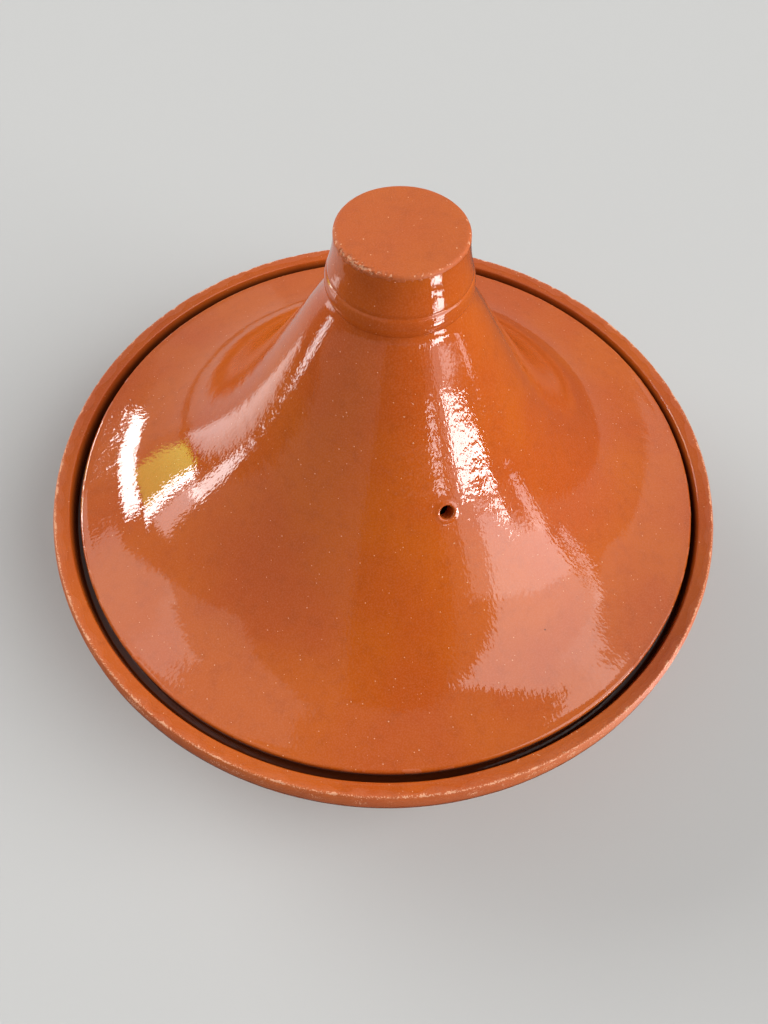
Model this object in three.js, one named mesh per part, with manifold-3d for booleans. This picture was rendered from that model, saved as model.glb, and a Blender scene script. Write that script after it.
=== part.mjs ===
// A covered clay tagine: a shallow dish with a raised rim, and a bell-shaped lid that stands on a
// ledge inside the rim and lifts off. Both pieces are thrown round, so each one is an outline turned
// about the Z axis. Millimetres, +Z up, with the dish's foot on z = 0 and the steam hole facing -Y.

import * as THREE from 'three';
import { mergeVertices } from 'three/addons/utils/BufferGeometryUtils.js';
import Module from 'manifold-3d';

// Driving dimensions of the dish.
const DISH_RADIUS = 150; // widest radius, just under the rim's edge
const DISH_HEIGHT = 62; // foot to rim edge
const DISH_WALL = 7.5; // clay thickness of the bowl
const FOOT_RADIUS = 92; // flat unglazed base
const FOOT_CHAMFER = 2;
const RIM_EDGE_RADIUS = 148.1; // worn edge on top of the rim
const RIM_TOP_WIDTH = 5.2; // band between that edge and the rim's inner wall
const RIM_TOP_FALL = 1.4; // the band falls inwards by this much
const RIM_DEPTH = 9; // rim edge down to the widest radius
const RIM_BEAD = 21; // rim edge down to where its thick bead joins the bowl
const RIM_OVERHANG = 12; // how far the bead stands out from the bowl
const LEDGE_DEPTH = 9.6; // rim edge down to the ledge that carries the lid
const LEDGE_WIDTH = 11.5; // from the rim's inner wall inwards

// Driving dimensions of the lid.
const LID_RADIUS = 139; // outermost radius of its rounded edge
const LID_EDGE = 7; // thickness of that edge
const LID_WALL = 6.5; // clay thickness of the cone
const LID_PLAY = 0.3; // gap between the lid and the ledge
const BRIM_SLOPE = THREE.MathUtils.degToRad(12); // the cone's rise at the lid's edge
const BRIM_REACH = 30; // how far the low brim holds that slope
const NECK_SLOPE = THREE.MathUtils.degToRad(62); // the cone's rise under the collar
const NECK_REACH = 115; // how far down the steep neck holds that slope
const NECK_RADIUS = 25.2; // the cone's radius under the collar
const NECK_HEIGHT = 168.3; // table to the top of the cone
const COLLAR_STAND = 1; // how far the collar stands out from the neck
const COLLAR_HEIGHT = 6.5; // raised band round the foot of the knob
const KNOB_RADIUS = 22.4; // at the knob's flat top
const KNOB_TOP = 192; // table to the knob's flat top
const KNOB_WALL = 7; // clay thickness of the hollow knob
const KNOB_EDGE = 1.3; // rounding round the flat top
const STEAM_HOLE_RADIUS = 2.6;
const STEAM_HOLE_PLACE = 0.758; // along the cone's face, 0 at the brim and 1 at the neck

const TURN_STEPS = 60; // flats round one full turn
const ROUNDING_STEPS = 3; // flats on a small rounded corner

const LEDGE_HEIGHT = DISH_HEIGHT - LEDGE_DEPTH;
const STAND_HEIGHT = LEDGE_HEIGHT + LID_PLAY; // table to the underside of the lid's edge

/** A point of an outline: its distance from the Z axis and its height. */
const at = (radius, height) => new THREE.Vector2(radius, height);

/** Points that round off a corner. */
function rounding(start, corner, end) {
  return new THREE.QuadraticBezierCurve(start, corner, end).getPoints(ROUNDING_STEPS);
}

/** The clay's inner face behind a curved outer face, from its far end back to its near end. */
function innerFace(outerFace, thickness, near, far, steps) {
  return Array.from({ length: steps + 1 }, (_, step) => {
    const place = far + ((near - far) * step) / steps;
    const tangent = outerFace.getTangent(place);
    return outerFace.getPoint(place).addScaledVector(at(-tangent.y, tangent.x), thickness);
  });
}

/** Turns a closed outline about the Z axis. */
function turned(outline) {
  return new THREE.LatheGeometry(outline, TURN_STEPS).rotateX(Math.PI / 2);
}

/** The bowl's outer face, from the foot out and up to the bead of the rim. */
function bowlFace() {
  const foot = at(FOOT_RADIUS, FOOT_CHAMFER);
  const top = at(DISH_RADIUS - RIM_OVERHANG, DISH_HEIGHT - RIM_BEAD);
  return new THREE.CubicBezierCurve(foot, at(foot.x + 20, foot.y + 8), at(top.x - 5, top.y - 14), top);
}

/** The rim's bead, its worn edge and the band on top, from the bowl to the rim's inner wall. */
function rimOutline(bowlTop) {
  const widest = at(DISH_RADIUS, DISH_HEIGHT - RIM_DEPTH);
  const edge = at(RIM_EDGE_RADIUS, DISH_HEIGHT);
  const inner = at(RIM_EDGE_RADIUS - RIM_TOP_WIDTH, DISH_HEIGHT - RIM_TOP_FALL);
  const underBead = at(bowlTop.x + 2, bowlTop.y + 5);
  const bead = new THREE.CubicBezierCurve(bowlTop, underBead, at(widest.x, widest.y - 6), widest);
  return [
    ...bead.getPoints(5).slice(1, -1),
    ...rounding(widest, at(widest.x, edge.y - 2), edge),
    ...rounding(at(inner.x + 1, inner.y), inner, at(inner.x, inner.y - 1)),
  ];
}

/** The ledge inside the rim, from the foot of the rim's inner wall to the top of the bowl. */
function ledgeOutline() {
  const start = RIM_EDGE_RADIUS - RIM_TOP_WIDTH - 1;
  const end = start - LEDGE_WIDTH;
  return [
    ...rounding(at(start, LEDGE_HEIGHT + 1), at(start, LEDGE_HEIGHT), at(start - 1, LEDGE_HEIGHT)),
    ...rounding(at(end + 2, LEDGE_HEIGHT), at(end, LEDGE_HEIGHT), at(end - 1, LEDGE_HEIGHT - 3)),
  ];
}

/** The dish, from the middle of its foot over the rim to the middle of its floor. */
function dishGeometry() {
  const bowl = bowlFace();
  const inside = innerFace(bowl, DISH_WALL, 0.1, 0.95, 6);
  const floorHeight = DISH_WALL + 1;
  return turned([
    at(0, 0),
    at(FOOT_RADIUS - FOOT_CHAMFER, 0),
    ...bowl.getPoints(7),
    ...rimOutline(bowl.getPoint(1)),
    ...ledgeOutline(),
    ...inside,
    at(inside.at(-1).x - 12, floorHeight),
    at(0, floorHeight),
  ]);
}

/** The cone's outer face: a low brim that sweeps up into a steep, straight neck. */
function coneFace() {
  const brim = at(LID_RADIUS - LID_EDGE / 2 + 1, STAND_HEIGHT + LID_EDGE);
  const neck = at(NECK_RADIUS, NECK_HEIGHT);
  const uphill = (slope) => at(-Math.cos(slope), Math.sin(slope));
  const brimHandle = brim.clone().addScaledVector(uphill(BRIM_SLOPE), BRIM_REACH);
  const neckHandle = neck.clone().addScaledVector(uphill(NECK_SLOPE), -NECK_REACH);
  return new THREE.CubicBezierCurve(brim, brimHandle, neckHandle, neck);
}

/** The lid's rounded edge, from its flat underside up to the brim. */
function edgeOutline(brim) {
  const widest = at(LID_RADIUS, STAND_HEIGHT + LID_EDGE / 2);
  return [
    at(LID_RADIUS - LID_EDGE, STAND_HEIGHT),
    ...rounding(at(brim.x, STAND_HEIGHT), at(LID_RADIUS, STAND_HEIGHT), widest),
    ...rounding(widest, at(LID_RADIUS, brim.y - 0.5), brim).slice(1, -1),
  ];
}

/** The collar, the groove above it and the knob, from the neck to the middle of the flat top. */
function knobOutline() {
  const collarTop = NECK_HEIGHT + COLLAR_HEIGHT;
  const flare = at(NECK_RADIUS - 0.7, collarTop + 2);
  const shoulder = at(KNOB_RADIUS, KNOB_TOP - KNOB_EDGE);
  const side = new THREE.QuadraticBezierCurve(flare, at(KNOB_RADIUS + 0.3, collarTop + 8), shoulder);
  return [
    at(NECK_RADIUS + COLLAR_STAND - 0.3, NECK_HEIGHT + 0.7),
    at(NECK_RADIUS + COLLAR_STAND, NECK_HEIGHT + COLLAR_HEIGHT / 2),
    at(NECK_RADIUS + COLLAR_STAND - 0.7, collarTop),
    at(NECK_RADIUS - 1, collarTop + 1),
    ...side.getPoints(3).slice(0, -1),
    ...rounding(shoulder, at(KNOB_RADIUS, KNOB_TOP), at(KNOB_RADIUS - KNOB_EDGE, KNOB_TOP)),
    at(0, KNOB_TOP),
  ];
}

/** The lid before drilling, from the top of its hollow round the edge to the top of the knob. */
function lidBlank() {
  const cone = coneFace();
  const hollow = at(KNOB_RADIUS - KNOB_WALL, KNOB_TOP - KNOB_WALL - 1);
  return turned([
    at(0, hollow.y),
    ...rounding(at(hollow.x - 4, hollow.y), hollow, at(hollow.x, hollow.y - 5)),
    ...innerFace(cone, LID_WALL, 0.05, 0.97, 9),
    ...edgeOutline(cone.getPoint(0)),
    ...cone.getPoints(13),
    ...knobOutline(),
  ]);
}

/** The drill that makes the steam hole, square to the cone's face on the -Y side. */
function steamDrill() {
  const cone = coneFace();
  const place = cone.getPoint(STEAM_HOLE_PLACE);
  const tangent = cone.getTangent(STEAM_HOLE_PLACE);
  const drill = new THREE.CylinderGeometry(STEAM_HOLE_RADIUS, STEAM_HOLE_RADIUS, LID_WALL * 4, 16);
  return drill.rotateX(Math.atan2(tangent.x, tangent.y)).translate(0, -place.x, place.y);
}

/** A closed geometry as a solid that can be cut. */
function asSolid({ Manifold, Mesh }, geometry) {
  geometry.deleteAttribute('normal');
  geometry.deleteAttribute('uv');
  const merged = mergeVertices(geometry);
  const vertProperties = new Float32Array(merged.attributes.position.array);
  const triVerts = new Uint32Array(merged.index.array);
  return new Manifold(new Mesh({ numProp: 3, vertProperties, triVerts }));
}

/** A solid back as a geometry. */
function asGeometry(solid) {
  const { vertProperties, triVerts } = solid.getMesh();
  const geometry = new THREE.BufferGeometry();
  geometry.setAttribute('position', new THREE.BufferAttribute(vertProperties, 3));
  geometry.setIndex(new THREE.BufferAttribute(triVerts, 1));
  geometry.computeVertexNormals();
  return geometry;
}

/** The lid with its steam hole. */
async function lidGeometry() {
  const wasm = await Module();
  wasm.setup();
  return asGeometry(asSolid(wasm, lidBlank()).subtract(asSolid(wasm, steamDrill())));
}

/** Red-brown earthenware under a clear glaze. */
function glazedClay() {
  return new THREE.MeshStandardMaterial({ color: 0xb5532c, roughness: 0.22, metalness: 0 });
}

/** One named sub-part. */
function piece(name, geometry) {
  const mesh = new THREE.Mesh(geometry, glazedClay());
  mesh.name = name;
  return mesh;
}

const tagine = new THREE.Group();
tagine.add(piece('dish', dishGeometry()));
tagine.add(piece('lid', await lidGeometry()));

export default tagine;
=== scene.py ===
"""The looks of a covered clay tagine: a glazed dish and its bell-shaped lid, turned round the Z axis.

Shapes are worked out in millimetres and turned into metres only when a mesh is made. An outline
runs the way the CAD's does, up the outside and down the inside, so that its normals point out of
the clay.
"""

from math import cos, pi, radians, sin, tan, tau

import bpy
import numpy as np
from mathutils import Matrix, Quaternion, Vector, noise


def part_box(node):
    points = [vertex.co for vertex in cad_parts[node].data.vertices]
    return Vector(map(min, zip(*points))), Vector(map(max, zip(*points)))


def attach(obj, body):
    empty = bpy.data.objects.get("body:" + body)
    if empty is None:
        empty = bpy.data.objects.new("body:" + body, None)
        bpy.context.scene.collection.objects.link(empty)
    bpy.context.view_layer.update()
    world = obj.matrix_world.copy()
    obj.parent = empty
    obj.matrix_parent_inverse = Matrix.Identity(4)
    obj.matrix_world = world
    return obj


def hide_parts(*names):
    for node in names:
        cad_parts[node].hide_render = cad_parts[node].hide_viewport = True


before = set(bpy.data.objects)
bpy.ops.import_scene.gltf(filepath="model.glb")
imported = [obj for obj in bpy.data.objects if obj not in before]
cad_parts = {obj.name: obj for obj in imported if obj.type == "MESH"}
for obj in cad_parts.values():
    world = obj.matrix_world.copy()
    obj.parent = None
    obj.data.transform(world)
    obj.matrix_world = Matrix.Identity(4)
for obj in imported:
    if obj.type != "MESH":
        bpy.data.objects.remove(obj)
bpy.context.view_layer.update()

MM = 0.001

# The frame's own sizes.
_, dish_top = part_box("dish")
lid_foot, lid_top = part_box("lid")
DISH_RADIUS = dish_top.x / MM
DISH_HEIGHT = dish_top.z / MM
LID_RADIUS = lid_top.x / MM
STAND_HEIGHT = lid_foot.z / MM  # table to the underside of the lid's edge
KNOB_TOP = lid_top.z / MM

# The dish.
DISH_WALL = 7.5
FOOT_RADIUS = 92
FOOT_CHAMFER = 2
FOOT_HOLLOW = 1.2  # how far the middle of the foot is trimmed away
FOOT_RING_RADIUS = 80  # the inner edge of what it stands on
FLAT_RADIUS = 60  # the flat middle of the foot and of the floor
RIM_EDGE_RADIUS = DISH_RADIUS - 1.9
RIM_TOP_WIDTH = 5.6
RIM_TOP_FALL = 1.4
RIM_DEPTH = 9
RIM_BEAD = 21
RIM_OVERHANG = 12
LEDGE_HEIGHT = DISH_HEIGHT - 9.6
LEDGE_WIDTH = 11.5
GLAZE_LINE = 27  # how far up the outside the glaze stops

# The lid.
LID_EDGE = 7
LID_WALL = 6.5
BRIM_SLOPE = radians(12)
BRIM_REACH = 30
NECK_SLOPE = radians(62)
NECK_REACH = 115
NECK_RADIUS = 25.2
NECK_HEIGHT = KNOB_TOP - 23.7
COLLAR_STAND = 0.8
COLLAR_HEIGHT = 7.2
KNOB_RADIUS = 22.4
KNOB_WALL = 7
KNOB_EDGE = 1.8
KNOB_DISH = 0.15  # how far the middle of its top sinks
STEAM_HOLE_RADIUS = 2.6
STEAM_HOLE_PLACE = 0.758  # along the cone's face, 0 at the brim and 1 at the neck
STEAM_HOLE_ANGLE = -pi / 2
NECK_BULGE = 0.27  # the neck swells by this much, and draws in by as much under the collar
NECK_SWELLS = (95, 140)  # between these heights
NECK_DRAWS_IN = (150, 167)
LID_SHIFT = 0.9  # the lid lies this far off the dish's axis
NECK_LEAN = 1.8  # and its knob this far off the lid's own

# Which way the photographer looks, turned from +Y. The lid's shift and lean are to their right.
CAMERA_TURN = radians(-21.3)
CHIPPED_SIDE = CAMERA_TURN - radians(133)  # where the knob's edge is chipped most

# The photographer's view, in millimetres and radians.
CAMERA_BACK = 209.4
CAMERA_HEIGHT = DISH_HEIGHT + 296.1
CAMERA_PITCH = 1.018
CAMERA_ROLL = 0.035
FOCAL_LENGTH = 27.6
SENSOR_SIDE = 36

# The fine relief of the glaze.
RIPPLE_SIZE = 1.1
RIPPLE_HEIGHT = 0.055
PEEL_SIZE = 4
PEEL_HEIGHT = 0.03
PIT_DEPTH = 0.1
GRIT_HEIGHT = 0.25  # where the clay is bare or worn
HAIRLINE_HALF_WIDTH = 0.12

# The stage. The panels' azimuths and elevations are seen from this height on the axis.
LIGHT_HEIGHT = 110
ROOM_LIGHT = 0.4

# Colours, as linear light.
GLAZE_RED = (0.43, 0.072, 0.008, 1)
GLAZE_ORANGE = (0.47, 0.092, 0.006, 1)
GLAZE_BROWN = (0.32, 0.055, 0.006, 1)
GLAZE_PALE = (0.50, 0.135, 0.045, 1)
# Painted shade: a near-black glaze colour for the gap between the lid's edge and the rim.
PAINTED_GAP_SHADE = (0.09, 0.017, 0.004, 1)
SPECK = (0.75, 0.40, 0.22, 1)
PINHOLE = (0.06, 0.015, 0.008, 1)
WORN_CLAY = (0.72, 0.33, 0.18, 1)
BARE_CLAY = (0.50, 0.20, 0.11, 1)
BARE_CLAY_DARK = (0.40, 0.14, 0.07, 1)
FLOOR = (0.5, 0.5, 0.49, 1)
FLOOR_IN_GLAZE = (0.05, 0.06, 0.07, 1)

# How many points one ring of each mesh has.
DISH_COLUMNS = 640
LID_COLUMNS = 480


# ---------------------------------------------------------------- outlines


def bezier(controls, t):
    """Points of a Bezier curve at the places t, which run from 0 to 1."""
    points = [np.outer(np.ones_like(t), control) for control in controls]
    while len(points) > 1:
        points = [a + (b - a) * t[:, None] for a, b in zip(points, points[1:])]
    return points[0]


def stretch(*controls, rings):
    """A stretch of an outline along a Bezier curve, without its last point."""
    return bezier(controls, np.arange(rings) / rings)


def normals(controls, t):
    """Unit normals of a Bezier curve that runs up the outside, pointing outwards."""
    slope = bezier(np.diff(controls, axis=0), t)
    return np.column_stack([slope[:, 1], -slope[:, 0]]) / np.linalg.norm(slope, axis=1)[:, None]


def inset(controls, t, depth):
    """Points behind a Bezier curve by a thickness of clay."""
    return bezier(controls, t) - depth * normals(controls, t)


def outline_normals(outline):
    """Unit normals at the points of an outline."""
    slope = np.gradient(outline, axis=0)
    return np.column_stack([slope[:, 1], -slope[:, 0]]) / np.linalg.norm(slope, axis=1)[:, None]


def bowl_controls():
    """The bowl's outer face, from the foot up to the bead of the rim."""
    foot = np.array([FOOT_RADIUS, FOOT_CHAMFER])
    top = np.array([DISH_RADIUS - RIM_OVERHANG, DISH_HEIGHT - RIM_BEAD])
    return np.array([foot, foot + (20, 8), top - (5, 14), top])


def dish_outline():
    """The dish, from the middle of its foot over the rim to the middle of its floor."""
    bowl = bowl_controls()
    top = bowl[-1]
    widest = (DISH_RADIUS, DISH_HEIGHT - RIM_DEPTH)
    edge = (RIM_EDGE_RADIUS, DISH_HEIGHT)
    inner = RIM_EDGE_RADIUS - RIM_TOP_WIDTH
    band = DISH_HEIGHT - RIM_TOP_FALL
    wall = inner - 1
    ledge = wall - LEDGE_WIDTH
    floor = DISH_WALL + 1
    ring = FOOT_RING_RADIUS
    inside = inset(bowl, np.linspace(0.95, 0.1, 26), DISH_WALL)
    return np.vstack([
        stretch((0, FOOT_HOLLOW), (FLAT_RADIUS, FOOT_HOLLOW), rings=6),
        stretch((FLAT_RADIUS, FOOT_HOLLOW), (ring - 8, FOOT_HOLLOW), (ring - 6, 0), (ring, 0), rings=8),
        stretch((ring, 0), (FOOT_RADIUS - FOOT_CHAMFER, 0), rings=3),
        stretch((FOOT_RADIUS - FOOT_CHAMFER, 0), (FOOT_RADIUS - 0.4, 0), bowl[0], rings=4),
        stretch(*bowl, rings=30),
        stretch(top, top + (2, 5), (widest[0], widest[1] - 6), widest, rings=12),
        stretch(widest, (widest[0], edge[1] - 2), edge, rings=12),
        stretch(edge, (inner + 1, band), rings=7),
        stretch((inner + 1, band), (inner, band), (inner, band - 1), rings=4),
        stretch((inner, band - 1), (wall, LEDGE_HEIGHT + 1), rings=5),
        stretch((wall, LEDGE_HEIGHT + 1), (wall, LEDGE_HEIGHT), (wall - 1, LEDGE_HEIGHT), rings=4),
        stretch((wall - 1, LEDGE_HEIGHT), (ledge + 2, LEDGE_HEIGHT), rings=4),
        stretch((ledge + 2, LEDGE_HEIGHT), (ledge, LEDGE_HEIGHT), inside[0], rings=5),
        inside,
        stretch(inside[-1], (inside[-1][0] - 12, floor), (FLAT_RADIUS, floor), rings=9)[1:],
        stretch((FLAT_RADIUS, floor), (0, floor), rings=7),
        [(0, floor)],
    ])


def cone_controls():
    """The cone's outer face: a low brim that sweeps up into a steep, straight neck."""
    brim = np.array([LID_RADIUS - LID_EDGE / 2 + 1, STAND_HEIGHT + LID_EDGE])
    neck = np.array([NECK_RADIUS, NECK_HEIGHT])
    brim_handle = brim + BRIM_REACH * np.array([-cos(BRIM_SLOPE), sin(BRIM_SLOPE)])
    neck_handle = neck - NECK_REACH * np.array([-cos(NECK_SLOPE), sin(NECK_SLOPE)])
    return np.array([brim, brim_handle, neck_handle, neck])


CONE = cone_controls()

# The steam hole is let into a window of the cone's grid, which both faces leave open for it.
WINDOW_REACH = 0.034
WINDOW_ROWS = 12
WINDOW_SIDES = (LID_COLUMNS // 2 - 10, LID_COLUMNS // 2 + 10)
WINDOW_LOW = STEAM_HOLE_PLACE - WINDOW_REACH
WINDOW_HIGH = STEAM_HOLE_PLACE + WINDOW_REACH


def cone_places(start, rows_below, rows_above, end):
    """Places of rings along the cone's face, with the window's rows between the other two lots."""
    return np.concatenate([
        np.linspace(start, WINDOW_LOW, rows_below, endpoint=False),
        np.linspace(WINDOW_LOW, WINDOW_HIGH, WINDOW_ROWS, endpoint=False),
        np.linspace(WINDOW_HIGH, end, rows_above, endpoint=False),
    ])


OUTER_PLACES = cone_places(0, 42, 22, 1)
INNER_PLACES = cone_places(0.05, 20, 10, 0.98)[::-1]


def hollow_outline():
    """The lid's inside, from the top of the knob's hollow down to the foot of its edge."""
    corner = np.array([KNOB_RADIUS - KNOB_WALL, KNOB_TOP - KNOB_WALL - 1])
    face = inset(CONE, INNER_PLACES, LID_WALL)
    foot = np.array([LID_RADIUS - LID_EDGE, STAND_HEIGHT])
    above = np.vstack([
        stretch((0, corner[1]), corner - (4, 0), rings=3),
        stretch(corner - (4, 0), corner, corner - (0, 5), rings=5),
        stretch(corner - (0, 5), face[0], rings=3),
    ])
    below = stretch(face[-1], foot + (-1.5, 0.4), foot, rings=6)[1:]
    return np.vstack([above, face, below]), len(above)


def edge_outline():
    """The lid's rounded edge, from its flat underside up to the brim."""
    brim = CONE[0]
    widest = (LID_RADIUS, STAND_HEIGHT + LID_EDGE / 2)
    return np.vstack([
        stretch((LID_RADIUS - LID_EDGE, STAND_HEIGHT), (brim[0], STAND_HEIGHT), rings=3),
        stretch((brim[0], STAND_HEIGHT), (LID_RADIUS, STAND_HEIGHT), widest, rings=6),
        stretch(widest, (LID_RADIUS, brim[1] - 0.4), (LID_RADIUS, brim[1] - 0.1), brim, rings=8),
    ])


def knob_outline():
    """The collar, the groove above it and the knob, up to the middle of the knob's top."""
    neck = CONE[-1]
    collar = NECK_RADIUS + COLLAR_STAND
    collar_top = NECK_HEIGHT + COLLAR_HEIGHT
    foot = (collar - 0.5, neck[1] + 1)
    collar_edge = (collar - 0.6, collar_top - 0.4)
    groove = (NECK_RADIUS - 0.5, collar_top + 0.6)
    flare = (NECK_RADIUS - 0.4, collar_top + 1.6)
    shoulder = (KNOB_RADIUS, KNOB_TOP - KNOB_EDGE)
    top = (KNOB_RADIUS - KNOB_EDGE, KNOB_TOP)
    middle = (0, KNOB_TOP - KNOB_DISH)
    return np.vstack([
        stretch(neck, neck + (-0.1, 0.3), (collar - 0.7, neck[1] + 0.2), foot, rings=6),
        stretch(foot, (collar + 0.4, neck[1] + 3), collar_edge, rings=6),
        stretch(collar_edge, (collar - 0.8, collar_top + 0.2), groove, rings=5),
        stretch(groove, (groove[0], groove[1] + 0.6), flare, rings=3),
        stretch(flare, (KNOB_RADIUS + 0.3, collar_top + 8), shoulder, rings=14),
        stretch(shoulder, (KNOB_RADIUS, KNOB_TOP), top, rings=7),
        stretch(top, (top[0] - 4, KNOB_TOP), middle, rings=12),
        [middle],
    ])


# ---------------------------------------------------------------- unevenness, wear and glaze


def smooth(value, low, high):
    """0 below low, 1 above high and a smooth rise between them."""
    t = np.clip((value - low) / (high - low), 0, 1)
    return t * t * (3 - 2 * t)


def lumps(points, size, seed):
    """Smooth noise between about -1 and 1, with lumps of a size in millimetres."""
    shift = Vector((17.3, 5.1, 29.7)) * seed
    flat = [noise.noise(Vector(point) / size + shift) for point in points.reshape(-1, 3)]
    return np.array(flat).reshape(points.shape[:-1])


def near_edge(radius, height, edge, reach):
    """1 on an edge, given as its radius and height, and 0 at more than twice the reach from it."""
    away = np.hypot(radius - edge[0], height - edge[1])
    return np.exp(-((away / reach) ** 2))


def facing(angle, towards, spread):
    """1 on the side that faces a direction, falling to 0 over a spread."""
    return np.exp(-(1 - np.cos(angle - towards)) / (1 - cos(spread)))


def dish_relief(points, radius, height, angle, inside):
    """How far the dish's clay stands out, how worn its glaze is and where shade is painted into its
    colour.
    """
    rim = near_edge(radius, height, (RIM_EDGE_RADIUS, DISH_HEIGHT), 1.1)
    shoulder = near_edge(radius, height, (RIM_EDGE_RADIUS + 1, DISH_HEIGHT - 3), 4)
    nicks = smooth(lumps(points, 4, 1) + 0.5 * lumps(points, 1.6, 2), 0.05, 0.6)
    wheel_marks = np.where(inside, 0.18, 0.1) * np.sin(tau * height / 7 + angle)
    out = 0.12 * np.sin(2 * angle + 0.7) * smooth(radius, 0, 60)
    out += 0.2 * lumps(points, 45, 3) + 0.06 * lumps(points, 14, 4)
    out += wheel_marks * (height < DISH_HEIGHT - RIM_BEAD)
    seat = inside & (radius > RIM_EDGE_RADIUS - RIM_TOP_WIDTH - LEDGE_WIDTH - 4)
    out *= np.where(seat, smooth(height - LEDGE_HEIGHT, 0, 2), smooth(height, 0, 2))
    rubbed = 0.6 * shoulder * (0.7 + 0.6 * lumps(points, 7, 13))
    wear = np.maximum(rim * (0.6 + 0.4 * nicks), rubbed)
    below_rim = smooth(DISH_HEIGHT - 1.5 - height, 0, 5)
    # Painted shade: the ledge and the wall below the rim are darkened where the lid's edge sits in the
    # gap.
    gap_shade = seat * below_rim * smooth(height, LEDGE_HEIGHT - 4, LEDGE_HEIGHT)
    return out - 0.35 * rim * nicks, wear, gap_shade


def lid_relief(points, radius, height, angle, inside):
    """The same for the lid."""
    knob = near_edge(radius, height, (KNOB_RADIUS - 0.3, KNOB_TOP - 0.3), 1.5)
    brim = near_edge(radius, height, (LID_RADIUS, STAND_HEIGHT + LID_EDGE - 1), 1.5)
    chipped_side = facing(angle, CHIPPED_SIDE, radians(30))
    flakes = lumps(points, 1.5, 5) + 0.5 * lumps(points, 0.7, 6)
    chips = smooth(flakes + 0.5 * chipped_side, 0.15, 0.7)
    spiral = np.sin(tau * (height - 0.5 * radius) / 9 + angle)
    wheel_marks = np.where(inside, 0.2, 0.012) * spiral
    out = 0.15 * np.sin(2 * angle + 1.9) * smooth(radius, 0, 60)
    out += 0.12 * lumps(points, 35, 8) + 0.03 * lumps(points, 9, 9) + wheel_marks
    out *= smooth(height - STAND_HEIGHT, 0, 2)
    wear = knob * (0.4 + 0.6 * chips) * (0.75 + 0.25 * chipped_side)
    wear += 0.45 * brim * smooth(lumps(points, 6, 7), 0, 0.5)
    wear = np.maximum(wear, 0.22 * smooth(height, KNOB_TOP - 0.6, KNOB_TOP - 0.1))
    swell = smooth(height, *NECK_SWELLS) - 2 * smooth(height, *NECK_DRAWS_IN)
    neck = NECK_BULGE * swell * (height < NECK_HEIGHT)
    # Painted shade: the lid's edge is darkened where it sits down in the gap on the ledge.
    gap_shade = (radius > LID_RADIUS - 1) * smooth(STAND_HEIGHT + LID_EDGE - 1 - height, 0, 3)
    return out + neck * ~inside - 0.7 * knob * chips * chipped_side, wear, gap_shade


def dish_glaze(points, height, inside):
    """How far inside the glaze a point of the dish is, in millimetres, and less than 0 on bare clay."""
    line = GLAZE_LINE + 3 * lumps(points, 40, 10) + lumps(points, 9, 11)
    return np.where(inside, GLAZE_LINE, height - line)


def lid_glaze(points, height, inside):
    """The same for the lid, which is wiped bare only where it stands."""
    return height - STAND_HEIGHT - 0.8 - 0.4 * lumps(points, 12, 12)


def upright(points):
    """The dish stands where the outline puts it."""
    return points


def lean(points):
    """Moves the lid to where it lies on its ledge, and leans its neck over."""
    aside = np.array([cos(CAMERA_TURN), sin(CAMERA_TURN), 0])
    share = smooth(points[..., 2], STAND_HEIGHT + LID_EDGE, KNOB_TOP)
    return points + (LID_SHIFT + NECK_LEAN * share)[..., None] * aside


# ---------------------------------------------------------------- meshes


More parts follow.
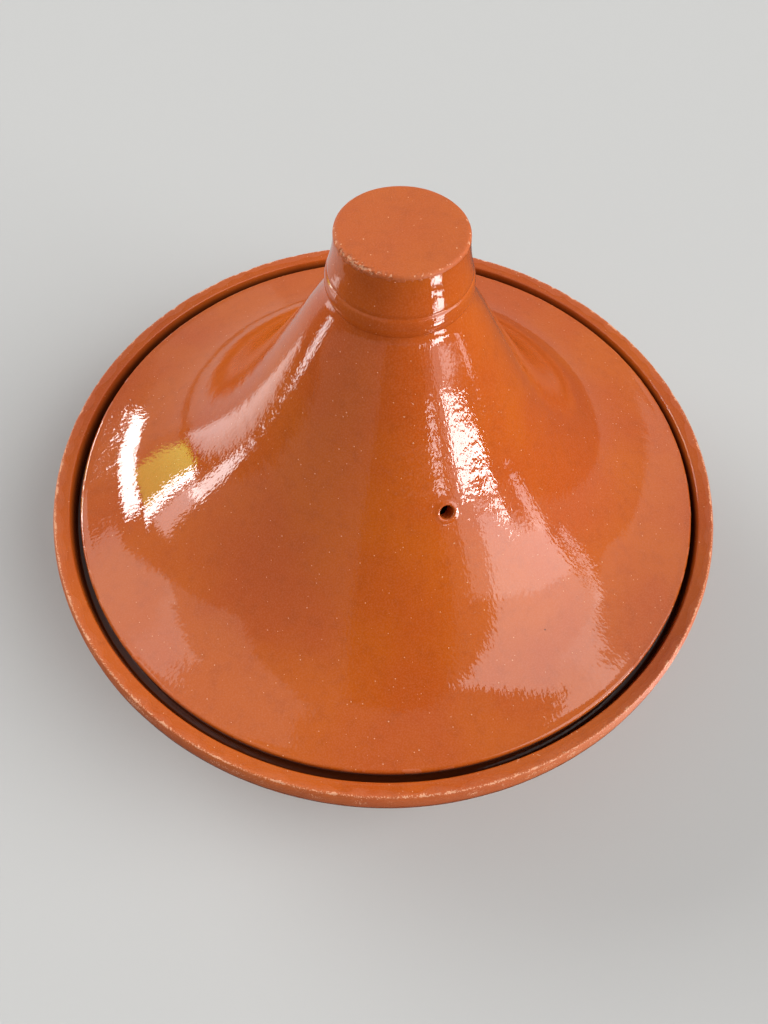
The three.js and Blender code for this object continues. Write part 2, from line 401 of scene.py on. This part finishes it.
class Turned:
    """A mesh of rings about the Z axis, while it is being made."""

    def __init__(self, columns, relief, glaze, settle):
        self.angles = STEAM_HOLE_ANGLE + pi + np.arange(columns) * tau / columns
        self.relief = relief
        self.glaze = glaze
        self.settle = settle
        self.points = np.empty((0, 3))
        self.wear = np.empty(0)
        self.glazed = np.empty(0)
        self.gap_shade = np.empty(0)
        self.faces = []

    def add(self, points, wear, glazed, gap_shade=0):
        """Adds points and returns their indices."""
        start = len(self.points)
        self.points = np.vstack([self.points, points.reshape(-1, 3)])
        self.wear = np.append(self.wear, np.broadcast_to(wear, points.shape[:-1]))
        self.glazed = np.append(self.glazed, np.broadcast_to(glazed, points.shape[:-1]))
        self.gap_shade = np.append(self.gap_shade, np.broadcast_to(gap_shade, points.shape[:-1]))
        return np.arange(start, len(self.points)).reshape(points.shape[:-1])

    def skin(self, places, outward, angle, inside, proud=0):
        """Adds points of the clay's surface, at places of the outline and angles about the axis."""
        radius, height = places[..., 0], places[..., 1]
        around = np.stack([np.cos(angle), np.sin(angle), np.zeros_like(angle)], axis=-1)
        up = np.array([0, 0, 1])
        even = radius[..., None] * around + height[..., None] * up
        normal = outward[..., 0, None] * around + outward[..., 1, None] * up
        out, wear, gap_shade = self.relief(even, radius, height, angle, inside)
        points = self.settle(even + (out + proud)[..., None] * normal)
        return self.add(points, wear, self.glaze(even, height, inside), gap_shade)

    def turn(self, outline, inside):
        """Adds the rings of an outline that runs from the axis to the axis, and returns their grid."""
        rings = outline[1:-1, None]
        outward = outline_normals(outline)[1:-1, None]
        angle = np.broadcast_to(self.angles, (len(rings), len(self.angles)))
        places = np.broadcast_to(rings, (*angle.shape, 2))
        grid = self.skin(places, outward, angle, np.broadcast_to(inside[1:-1, None], angle.shape))
        self.close(outline[0], grid[0], 1, inside[0])
        self.close(outline[-1], grid[-1], -1, inside[-1])
        return grid

    def close(self, place, ring, side, inside):
        """Closes a ring with a fan of triangles about the axis."""
        pole = self.skin(place[None], np.array([[0, -side]]), np.zeros(1), np.array([inside]))[0]
        turned = zip(ring, np.roll(ring, -side))
        self.faces += [(pole, b, a) for a, b in turned]

    def lattice(self, grid, missing):
        """Adds the faces between the rings of a grid, but for those in its missing cells."""
        near, far = grid[:-1], grid[1:]
        corners = [near, np.roll(near, -1, axis=1), np.roll(far, -1, axis=1), far]
        self.faces += np.stack(corners, axis=-1)[~missing].tolist()

    def bridge(self, loops):
        """Adds the faces between closed loops of the same length."""
        for near, far in zip(loops, loops[1:]):
            self.faces += zip(near, np.roll(near, -1), np.roll(far, -1), far)

    def finish(self, name, material):
        """The finished object, without the points that no face uses."""
        sizes = [len(face) for face in self.faces]
        used, corners = np.unique(np.concatenate(self.faces), return_inverse=True)
        faces = np.split(corners, np.cumsum(sizes)[:-1])
        mesh = bpy.data.meshes.new(name)
        mesh.from_pydata(self.points[used] * MM, [], faces)
        for key, values in (("wear", self.wear), ("glazed", self.glazed), ("gap_shade", self.gap_shade)):
            layer = mesh.attributes.new(key, "FLOAT", "POINT")
            layer.data.foreach_set("value", values[used].astype(np.float32))
        mesh.shade_smooth()
        mesh.materials.append(material)
        piece = bpy.data.objects.new(name, mesh)
        bpy.context.scene.collection.objects.link(piece)
        return piece


def make_dish(material):
    """The dish, whose inside begins at the edge of its rim."""
    outline = dish_outline()
    top = np.argmax(outline[:, 1])
    dish = Turned(DISH_COLUMNS, dish_relief, dish_glaze, upright)
    grid = dish.turn(outline, np.arange(len(outline)) > top)
    dish.lattice(grid, np.zeros((len(grid) - 1, DISH_COLUMNS), bool))
    return dish.finish("dish_clay", material)


def window_loop(low, high):
    """Rows and columns round the steam hole's window, from its low left corner, between two rows."""
    step = 1 if high > low else -1
    left, right = WINDOW_SIDES
    across = np.arange(left, right)
    upward = np.arange(low, high, step)
    rows = [np.full_like(across, low), upward, np.full_like(across, high), upward[::-1] + step]
    columns = [across, np.full_like(upward, right), across[::-1] + 1, np.full_like(upward, left)]
    return np.concatenate(rows), np.concatenate(columns)


def mouth_loops(lid, grid, rows, columns, places, depth):
    """Loops of points from the edge of the window in to the mouth of the steam hole."""
    inside = depth > 0
    count = len(rows)
    turn = radians(-135) + np.arange(count) * tau / count
    speed = np.linalg.norm(3 * bezier(np.diff(CONE, axis=0), np.array([STEAM_HOLE_PLACE])))
    hole_radius = bezier(CONE, np.array([STEAM_HOLE_PLACE]))[0, 0]
    circle = np.stack([np.sin(turn) / speed, np.cos(turn) / hole_radius], axis=-1)
    centre = np.array([STEAM_HOLE_PLACE, STEAM_HOLE_ANGLE])
    edge = np.stack([places, lid.angles[columns] - tau], axis=-1)
    radius = STEAM_HOLE_RADIUS
    lip = np.vstack([
        stretch((radius + 2.6, 0), (radius + 1.6, 0), (radius + 1.4, 0.3), (radius + 0.8, 0.25), rings=5),
        stretch((radius + 0.8, 0.25), (radius, 0.2), (radius, -1), rings=6),
    ])
    spread = [(1 - share) * edge + share * (centre + lip[0, 0] * circle) for share in (0.3, 0.6, 0.85)]
    rounds = [centre + size * circle for size in lip[:, 0]]
    heights = [0, 0, 0, *lip[:, 1]]
    loops = [grid[rows, columns]]
    side = -1 if inside else 1
    for ring, proud in zip(spread + rounds, heights):
        points = inset(CONE, ring[:, 0], depth)
        outward = side * normals(CONE, ring[:, 0])
        loops.append(lid.skin(points, outward, ring[:, 1], np.full(count, inside), proud))
    return loops


def make_lid(material):
    """The lid, whose inside ends at the foot of its edge, with its steam hole."""
    hollow, face_start = hollow_outline()
    edge = edge_outline()
    outline = np.vstack([hollow, edge, bezier(CONE, OUTER_PLACES), knob_outline()])
    lid = Turned(LID_COLUMNS, lid_relief, lid_glaze, lean)
    grid = lid.turn(outline, np.arange(len(outline)) < len(hollow))

    # Rows of the grid start one ring after the outline, which starts on the axis.
    inner_high = face_start - 1 + int(np.argmin(abs(INNER_PLACES - WINDOW_HIGH)))
    outer_low = len(hollow) + len(edge) - 1 + int(np.argmin(abs(OUTER_PLACES - WINDOW_LOW)))
    windows = [(inner_high + WINDOW_ROWS, inner_high), (outer_low, outer_low + WINDOW_ROWS)]
    missing = np.zeros((len(grid) - 1, LID_COLUMNS), bool)
    for ends in windows:
        missing[min(ends):max(ends), slice(*WINDOW_SIDES)] = True
    lid.lattice(grid, missing)

    climb = np.linspace(WINDOW_LOW, WINDOW_HIGH, WINDOW_ROWS + 1)
    mouths = []
    for (low, high), depth in zip(windows, (LID_WALL, 0)):
        rows, columns = window_loop(low, high)
        places = climb[abs(rows - low)]
        mouths.append(mouth_loops(lid, grid, rows, columns, places, depth))
    inner, outer = mouths
    start, end = lid.points[outer[-1]], lid.points[inner[-1]]
    bore = [lid.add(start + share * (end - start), 0, 1) for share in (0.25, 0.5, 0.75)]
    lid.bridge([*outer, *bore, *inner[::-1]])
    return lid.finish("lid_clay", material)


# ---------------------------------------------------------------- materials


def node(tree, kind, inputs=(), output=0, **settings):
    """Adds a shader node, with its inputs set or linked, and returns one of its outputs."""
    made = tree.nodes.new("ShaderNode" + kind)
    for key, value in settings.items():
        setattr(made, key, value)
    for key, value in dict(inputs).items():
        if isinstance(value, bpy.types.NodeSocket):
            tree.links.new(value, made.inputs[key])
        else:
            made.inputs[key].default_value = value
    return made.outputs[output]


def maths(tree, operation, *values):
    """A Math node of up to three values."""
    return node(tree, "Math", dict(enumerate(values)), operation=operation)


def rise(tree, value, low, high, floor=0, top=1):
    """A smooth step between two levels of a value."""
    inputs = {"Value": value, "From Min": low, "From Max": high, "To Min": floor, "To Max": top}
    return node(tree, "MapRange", inputs, interpolation_type="SMOOTHSTEP")


def mix(tree, share, a, b):
    """A colour between two colours."""
    return node(tree, "Mix", {0: share, 6: a, 7: b}, output=2, data_type="RGBA")


def grain(tree, place, size, detail=2, roughness=0.5):
    """Noise between 0 and 1 with grains of a size in millimetres."""
    inputs = {"Vector": place, "Scale": 1 / (size * MM), "Detail": detail, "Roughness": roughness}
    return node(tree, "TexNoise", inputs)


def about_zero(tree, noise_value, height):
    """Noise that runs from 0 to 1, moved to lie about 0 and stretched to a height."""
    return maths(tree, "MULTIPLY", maths(tree, "SUBTRACT", noise_value, 0.5), height)


def spots(tree, place, spacing, size, share):
    """1 inside small round spots: their spacing and radius in millimetres, and the share kept."""
    cells = node(tree, "TexVoronoi", {"Vector": place, "Scale": 1 / (spacing * MM)}).node
    pick = node(tree, "SeparateColor", {0: cells.outputs["Color"]}).node
    reach = maths(tree, "MULTIPLY", pick.outputs[1], size / spacing)
    inside = maths(tree, "LESS_THAN", cells.outputs["Distance"], reach)
    kept = maths(tree, "LESS_THAN", pick.outputs[0], share)
    return maths(tree, "MULTIPLY", inside, kept)


def scratches(tree, place, spacing, radius, share):
    """1 on thin curved hairlines: arcs about scattered middles, broken up by noise."""
    cells = node(tree, "TexVoronoi", {"Vector": place, "Scale": 1 / (spacing * MM)}).node
    pick = node(tree, "SeparateColor", {0: cells.outputs["Color"]}).node
    off_the_arc = maths(tree, "SUBTRACT", cells.outputs["Distance"], radius / spacing)
    away = maths(tree, "ABSOLUTE", off_the_arc)
    line = maths(tree, "LESS_THAN", away, HAIRLINE_HALF_WIDTH / spacing)
    kept = maths(tree, "LESS_THAN", pick.outputs[0], share)
    unbroken = maths(tree, "GREATER_THAN", grain(tree, place, 6, 0), 0.6)
    return maths(tree, "MULTIPLY", maths(tree, "MULTIPLY", line, kept), unbroken)


def along_the_profile(tree, place):
    """Coordinates in which even noise becomes ripples drawn out towards the axis, and the radius."""
    flat = node(tree, "VectorMath", {0: place, 1: (1, 1, 0)}, operation="MULTIPLY")
    radius = node(tree, "VectorMath", {0: flat}, output=1, operation="LENGTH")
    squeeze = maths(tree, "POWER", maths(tree, "MULTIPLY_ADD", radius, 10, 0.3), -0.5)
    drawn = node(tree, "VectorMath", {0: flat, "Scale": squeeze}, operation="SCALE")
    climb = node(tree, "VectorMath", {0: place, 1: (0, 0, 0.4)}, operation="MULTIPLY")
    return node(tree, "VectorMath", {0: drawn, 1: climb}, operation="ADD"), radius


def glazed_clay():
    """Red earthenware: glossy clear glaze, specks under it, worn edges, bare clay below, and shade
    painted into the gap under the lid.
    """
    material = bpy.data.materials.new("glazed_clay")
    material.use_nodes = True
    tree = material.node_tree
    shader = tree.nodes["Principled BSDF"]
    place = node(tree, "TexCoord", output="Object")
    ripple_place, radius = along_the_profile(tree, place)
    wear = node(tree, "Attribute", output="Fac", attribute_name="wear")
    glazed = node(tree, "Attribute", output="Fac", attribute_name="glazed")
    # Painted shade for the gap between lid and rim, carried by the mesh.
    gap_shade = node(tree, "Attribute", output="Fac", attribute_name="gap_shade")

    clouds = grain(tree, place, 60, 3)
    mottle = grain(tree, place, 5, 4, 0.65)
    fine = grain(tree, place, 0.6, 2)
    specks = spots(tree, place, 1.9, 0.27, 0.5)
    pinholes = spots(tree, place, 14, 0.4, 0.35)
    hairlines = scratches(tree, place, 60, 11, 0.35)

    colour = mix(tree, rise(tree, clouds, 0.35, 0.65), GLAZE_RED, GLAZE_ORANGE)
    colour = mix(tree, rise(tree, mottle, 0.45, 0.75, 0, 0.35), colour, GLAZE_BROWN)
    colour = mix(tree, rise(tree, fine, 0.4, 0.7, 0, 0.35), colour, GLAZE_PALE)
    colour = mix(tree, maths(tree, "MULTIPLY", specks, 0.75), colour, SPECK)
    colour = mix(tree, maths(tree, "MULTIPLY", hairlines, 0.35), colour, SPECK)
    colour = mix(tree, pinholes, colour, PINHOLE)
    # Painted shade: the gap between the lid and the rim turns nearly black.
    colour = mix(tree, gap_shade, colour, PAINTED_GAP_SHADE)

    frayed = maths(tree, "ADD", wear, about_zero(tree, fine, 1.1))
    chipped = rise(tree, frayed, 0.5, 0.75)
    colour = mix(tree, chipped, colour, WORN_CLAY)
    edge = maths(tree, "ADD", glazed, about_zero(tree, mottle, 2))
    bare = rise(tree, edge, 0.3, -0.3)
    clay = mix(tree, rise(tree, mottle, 0.3, 0.7), BARE_CLAY, BARE_CLAY_DARK)
    clay = mix(tree, specks, clay, SPECK)
    colour = mix(tree, bare, colour, clay)
    tree.links.new(colour, shader.inputs["Base Color"])

    rubbed = rise(tree, wear, 0.05, 0.25, 0, 0.85)
    dull = maths(tree, "MAXIMUM", maths(tree, "MAXIMUM", chipped, bare), rubbed)
    gloss = rise(tree, clouds, 0.3, 0.7, 0.03, 0.06)
    gloss = maths(tree, "MAXIMUM", gloss, maths(tree, "MULTIPLY", hairlines, 0.5))
    roughness = maths(tree, "MULTIPLY_ADD", dull, maths(tree, "SUBTRACT", 0.75, gloss), gloss)
    tree.links.new(roughness, shader.inputs["Roughness"])

    ripple_height = rise(tree, radius, 0.08, 0.13, RIPPLE_HEIGHT * MM, 0.6 * RIPPLE_HEIGHT * MM)
    ripples = maths(tree, "MULTIPLY", grain(tree, ripple_place, RIPPLE_SIZE, 1), ripple_height)
    peel = maths(tree, "MULTIPLY", grain(tree, place, PEEL_SIZE, 1), PEEL_HEIGHT * MM)
    holes = maths(tree, "ADD", pinholes, maths(tree, "MULTIPLY", specks, 0.2))
    pits = maths(tree, "MULTIPLY", holes, -PIT_DEPTH * MM)
    grit = maths(tree, "MULTIPLY", maths(tree, "MULTIPLY", fine, dull), GRIT_HEIGHT * MM)
    height = maths(tree, "ADD", maths(tree, "ADD", ripples, peel), maths(tree, "ADD", pits, grit))
    bump = node(tree, "Bump", {"Distance": 1, "Height": height})
    tree.links.new(bump, shader.inputs["Normal"])
    shader.inputs["IOR"].default_value = 1.5
    return material


# ---------------------------------------------------------------- stage


def sheet(name, corners):
    """A flat sheet of the stage, and the shader of its material."""
    mesh = bpy.data.meshes.new(name)
    mesh.from_pydata(corners, [], [(0, 1, 2, 3)])
    material = bpy.data.materials.new(name)
    material.use_nodes = True
    mesh.materials.append(material)
    made = bpy.data.objects.new(name, mesh)
    bpy.context.scene.collection.objects.link(made)
    return made, material.node_tree.nodes["Principled BSDF"]


def pale_floor():
    """A pale, matt floor, which the glaze mirrors as a dark table."""
    size = 12
    corners = [(-size, -size, 0), (size, -size, 0), (size, size, 0), (-size, size, 0)]
    floor, shader = sheet("floor", corners)
    tree = floor.active_material.node_tree
    in_the_glaze = tree.nodes.new("ShaderNodeLightPath").outputs["Is Glossy Ray"]
    tree.links.new(mix(tree, in_the_glaze, FLOOR, FLOOR_IN_GLAZE), shader.inputs["Base Color"])
    shader.inputs["Roughness"].default_value = 1
    shader.inputs["Specular IOR Level"].default_value = 0


def dark_card():
    """A dark card behind the camera, which the glaze mirrors down the front of the lid."""
    width, height, distance, lift = 0.5, 1.6, 0.6, 0.2
    corners = [(-width / 2, 0, 0), (width / 2, 0, 0), (width / 2, 0, height), (-width / 2, 0, height)]
    card, shader = sheet("dark_card", corners)
    shader.inputs["Base Color"].default_value = (0.02, 0.02, 0.02, 1)
    turn = Matrix.Rotation(radians(-12.5), 4, "Z")
    card.matrix_world = turn @ Matrix.Translation((0, -distance, lift))
    card.visible_camera = False
    card.visible_diffuse = False
    card.visible_shadow = False


def direction(azimuth, elevation):
    """The unit vector towards an azimuth and an elevation in degrees."""
    turn, up = radians(azimuth), radians(elevation)
    return Vector((cos(turn) * cos(up), sin(turn) * cos(up), sin(up)))


def sun(name, azimuth, elevation, strength, spread):
    """A broad, soft light from far away, which the glaze does not mirror."""
    data = bpy.data.lights.new(name, "SUN")
    data.energy = strength * pi
    data.angle = radians(spread)
    light = bpy.data.objects.new(name, data)
    light.rotation_mode = "QUATERNION"
    light.rotation_quaternion = direction(azimuth, elevation).to_track_quat("Z", "Y")
    light.visible_glossy = False
    bpy.context.scene.collection.objects.link(light)


def glaze_light(name, width, height, radiance, colour=(1, 1, 1)):
    """A rectangular light that only glossy surfaces show, before it is put in its place."""
    data = bpy.data.lights.new(name, "AREA")
    data.shape = "RECTANGLE"
    data.size = width
    data.size_y = height
    data.energy = radiance * pi * width * height
    data.color = colour
    light = bpy.data.objects.new(name, data)
    light.visible_camera = False
    light.visible_diffuse = False
    bpy.context.scene.collection.objects.link(light)
    return light


def panel(name, azimuths, elevations, radiance, colour=(1, 1, 1), distance=2.5, aim=LIGHT_HEIGHT, tilt=0):
    """A panel that fills a range of azimuths and elevations, seen from a height on the axis."""
    middle = direction(sum(azimuths) / 2, sum(elevations) / 2)
    width = 2 * distance * tan(radians(azimuths[1] - azimuths[0]) / 2) * cos(radians(sum(elevations) / 2))
    height = 2 * distance * tan(radians(elevations[1] - elevations[0]) / 2)
    light = glaze_light(name, width, height, radiance, colour)
    light.location = Vector((0, 0, aim * MM)) + middle * distance
    light.rotation_mode = "QUATERNION"
    light.rotation_quaternion = middle.to_track_quat("Z", "Y") @ Quaternion((0, 0, 1), radians(tilt))


def table_shine(name, azimuth, reach, width, radiance):
    """A sheen that lies on the floor and runs away from the pot."""
    above_floor = 4 * MM
    light = glaze_light(name, reach[1] - reach[0], width, radiance)
    light.location = direction(azimuth, 0) * sum(reach) / 2 + Vector((0, 0, above_floor))
    light.rotation_euler = (pi, 0, radians(azimuth))


def lights():
    """Soft daylight from two sides, and the windows and walls of a room for the glaze to mirror."""
    sun("daylight_left", 124, 15, 1.1, 50)
    sun("daylight_right", -38, 30, 1.2, 60)
    panel("left_window_top", (113, 136), (26, 32.5), 20, tilt=24)
    panel("left_window_side", (138, 141), (0, 30), 20)
    panel("left_garden", (126.5, 138), (-7, 27), 4.5, (0.5, 0.7, 0.08))
    panel("left_curtain", (142.5, 150), (3, 27), 4, (1, 0.85, 0.85))
    panel("left_sill", (147, 153), (-6, 5), 8, distance=0.8)
    panel("left_table_edge", (130, 150), (-16, -8), 2, distance=0.38)
    table_shine("left_table_shine", 102, (0.2, 1), 0.6, 0.45)
    panel("left_wall", (118, 160), (41, 62), 1.6)
    panel("left_far_wall", (85, 122), (-8, 24), 0.2)
    panel("right_window", (-65, -41), (-4.7, 2.3), 20, tilt=-18)
    panel("right_window_slit", (-80, -74), (4, 7), 8)
    panel("right_window_frame", (-31, -26), (-7, 6), 4)
    for low, high in ((-36, -28), (-25, -21), (-19, -12)):
        panel("right_table_shine", (-61, -47), (low, high), 16, distance=0.29, aim=KNOB_TOP - 10)
    panel("pale_wall", (-63, -22), (6, 64), 3)
    panel("pale_wall_foot", (-70, -26), (4, 26), 1.5)
    panel("curtain_edge", (-22, -19.5), (8, 42), 4, tilt=-5)
    panel("ceiling", (150, 195), (40, 75), 0.6)
    panel("far_wall", (-20, 40), (28, 62), 0.6)


def room_light():
    """An even white light from all round."""
    world = bpy.data.worlds.new("room")
    world.use_nodes = True
    background = world.node_tree.nodes["Background"]
    background.inputs["Color"].default_value = (1, 1, 1, 1)
    background.inputs["Strength"].default_value = ROOM_LIGHT
    bpy.context.scene.world = world


def camera():
    """The photographer's view: close above the pot, looking down past its knob."""
    data = bpy.data.cameras.new("camera")
    data.sensor_width = SENSOR_SIDE
    data.lens = FOCAL_LENGTH
    view = bpy.data.objects.new("camera", data)
    eye = Matrix.Translation(Vector((0, -CAMERA_BACK, CAMERA_HEIGHT)) * MM)
    tilt = Matrix.Rotation(pi / 2 - CAMERA_PITCH, 4, "X") @ Matrix.Rotation(CAMERA_ROLL, 4, "Z")
    view.matrix_world = Matrix.Rotation(CAMERA_TURN, 4, "Z") @ eye @ tilt
    bpy.context.scene.collection.objects.link(view)
    bpy.context.scene.camera = view


pottery = glazed_clay()
for body, piece in (("dish", make_dish(pottery)), ("lid", make_lid(pottery))):
    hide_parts(body)
    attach(piece, body)

pale_floor()
lights()
dark_card()
room_light()
camera()
bpy.context.scene.view_settings.view_transform = "Standard"
